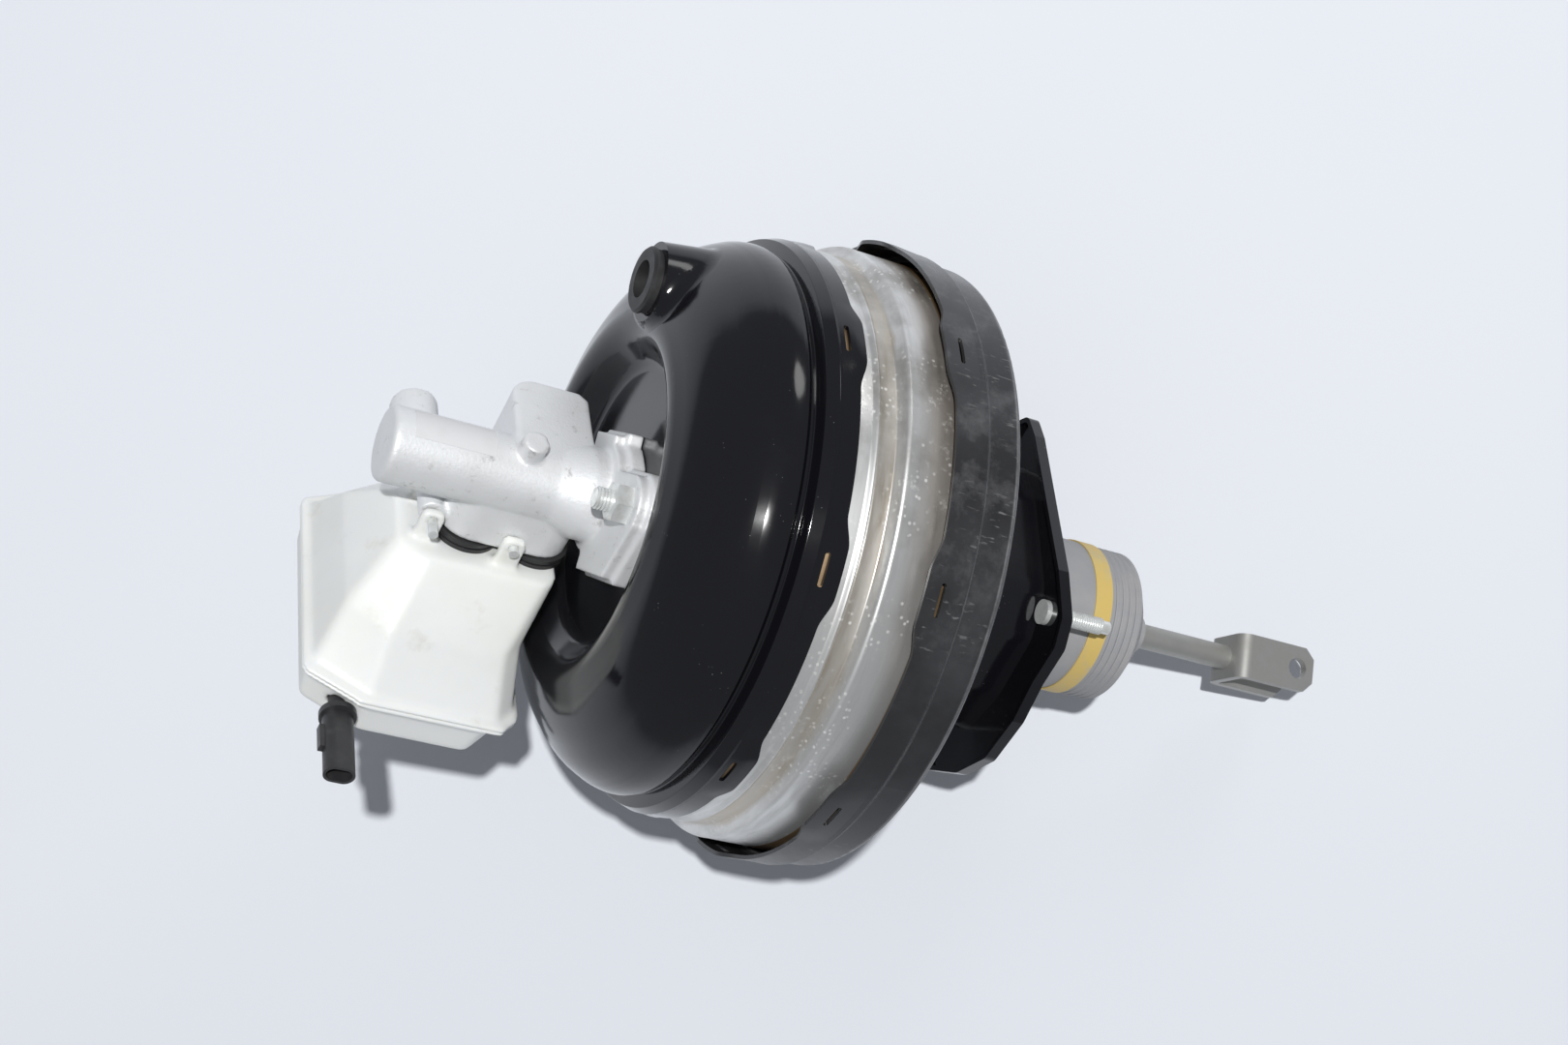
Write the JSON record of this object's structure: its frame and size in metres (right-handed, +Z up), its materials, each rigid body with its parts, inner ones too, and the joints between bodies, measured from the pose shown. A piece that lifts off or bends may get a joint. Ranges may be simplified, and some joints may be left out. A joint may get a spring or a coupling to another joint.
{
  "type": "brake booster",
  "caption": "Tandem vacuum brake booster with master cylinder, fluid reservoir, pedal rod and clevis.",
  "frame": {"origin": "where the booster's axis meets the bracket face that bolts to the bulkhead", "axes": "+X along the booster's axis to the pedal, +Z up to the reservoir's cap, +Y to the side of the level sensor's plug"},
  "size_m": [0.4859, 0.289, 0.289],
  "materials": {
    "black_shell": "gloss black paint",
    "bare_housing": "dull zinc plating with stains",
    "zinc_steel": "zinc plated",
    "spring_steel": "bright wire",
    "cast_alloy": "sand-blasted casting",
    "turned_alloy": "turned",
    "black_rubber": "matt",
    "boot_rubber": "matt grey",
    "yellow_tape": "worn yellow strip",
    "milky_plastic": "milky, slightly yellowed",
    "black_plastic": "moulded",
    "rod_steel": "dull steel",
    "filter_foam": "open foam"
  },
  "bodies": {
    "housing": {"front_shell": "black_shell", "reinforcement_plate": "zinc_steel", "centre_housing": "bare_housing", "rear_shell": "black_shell", "mounting_bracket": "black_shell", "bulkhead_studs": "zinc_steel", "cylinder_studs": "zinc_steel", "cylinder_nuts": "zinc_steel", "vacuum_grommet": "black_rubber", "neck_seal": "black_rubber", "divider_plate": "zinc_steel", "divider_seal": "black_rubber", "dust_boot": "boot_rubber", "boot_band": "yellow_tape", "master_cylinder_body": "cast_alloy", "cylinder_seal": "black_rubber", "piston_guide": "turned_alloy", "circlip": "zinc_steel", "feed_grommets": "black_rubber", "roll_pins": "zinc_steel", "reservoir_lower": "milky_plastic", "reservoir_upper": "milky_plastic", "filler_strainer": "milky_plastic", "level_sensor": "black_plastic", "front_diaphragm": "black_rubber", "rear_diaphragm": "black_rubber", "main_spring": "spring_steel", "secondary_spring": "spring_steel"},
    "servo": {"valve_body": "black_plastic", "front_plate": "turned_alloy", "rear_plate": "turned_alloy", "valve_key": "zinc_steel", "reaction_disc": "black_rubber", "output_rod": "rod_steel", "poppet_valve": "black_rubber", "poppet_spring": "spring_steel", "valve_retainer": "zinc_steel", "air_filter": "filter_foam"},
    "plunger": {"valve_plunger": "rod_steel"},
    "rod": {"pedal_rod": "rod_steel", "rod_spring": "spring_steel"},
    "rod_fork": {"clevis": "rod_steel"},
    "primary": {"primary_piston": "turned_alloy", "primary_cup": "black_rubber", "primary_spring": "spring_steel"},
    "secondary": {"secondary_piston": "turned_alloy", "secondary_cup": "black_rubber"},
    "cap_seal": {"cap_gasket": "black_rubber"},
    "cap": {"reservoir_cap": "black_plastic"},
    "float": {"level_float": "milky_plastic"}
  },
  "joints": [
    {"name": "servo_travel", "type": "slide", "parent": "housing", "child": "servo", "axis": [-1, 0, 0], "range_m": [0, 0.032], "stiffness_N_per_m": 2500, "springref_m": -0.04, "deforming": ["main_spring", "front_diaphragm", "rear_diaphragm", "dust_boot"]},
    {"name": "plunger_travel", "type": "slide", "parent": "servo", "child": "plunger", "axis": [-1, 0, 0], "range_m": [0, 0.0016], "stiffness_N_per_m": 4000, "springref_m": -0.008, "deforming": ["rod_spring", "dust_boot"]},
    {"name": "rod_tilt", "type": "hinge", "parent": "plunger", "child": "rod", "pos_m": [-0.052, 0, 0], "axis": [0, 0.5878, -0.809], "range_deg": [-3, 3], "stiffness_Nm_per_rad": 30, "deforming": ["rod_spring", "dust_boot"]},
    {"name": "fork_turn", "type": "hinge", "parent": "rod", "child": "rod_fork", "pos_m": [0.1295, 0, 0], "axis": [1, 0, 0], "continuous": true},
    {"name": "primary_travel", "type": "slide", "parent": "housing", "child": "primary", "axis": [-1, 0, 0], "range_m": [0, 0.032], "stiffness_N_per_m": 900, "springref_m": -0.03, "deforming": ["primary_spring"]},
    {"name": "secondary_travel", "type": "slide", "parent": "housing", "child": "secondary", "axis": [-1, 0, 0], "range_m": [0, 0.0192], "stiffness_N_per_m": 900, "springref_m": -0.03, "deforming": ["secondary_spring", "primary_spring"]},
    {"name": "cap_lift", "type": "slide", "parent": "housing", "child": "cap_seal", "axis": [0, 0, 1], "range_m": [0, 0.04]},
    {"name": "cap_turn", "type": "hinge", "parent": "cap_seal", "child": "cap", "pos_m": [-0.2588, 0, 0.12], "axis": [0, 0, 1], "range_deg": [0, 90]},
    {"name": "float_travel", "type": "slide", "parent": "housing", "child": "float", "axis": [0, 0, 1], "range_m": [0, 0.012]}
  ],
  "couplings": [
    {"joint": "primary_travel", "follows": "servo_travel", "ratio": 1},
    {"joint": "secondary_travel", "follows": "servo_travel", "ratio": 0.6}
  ]
}
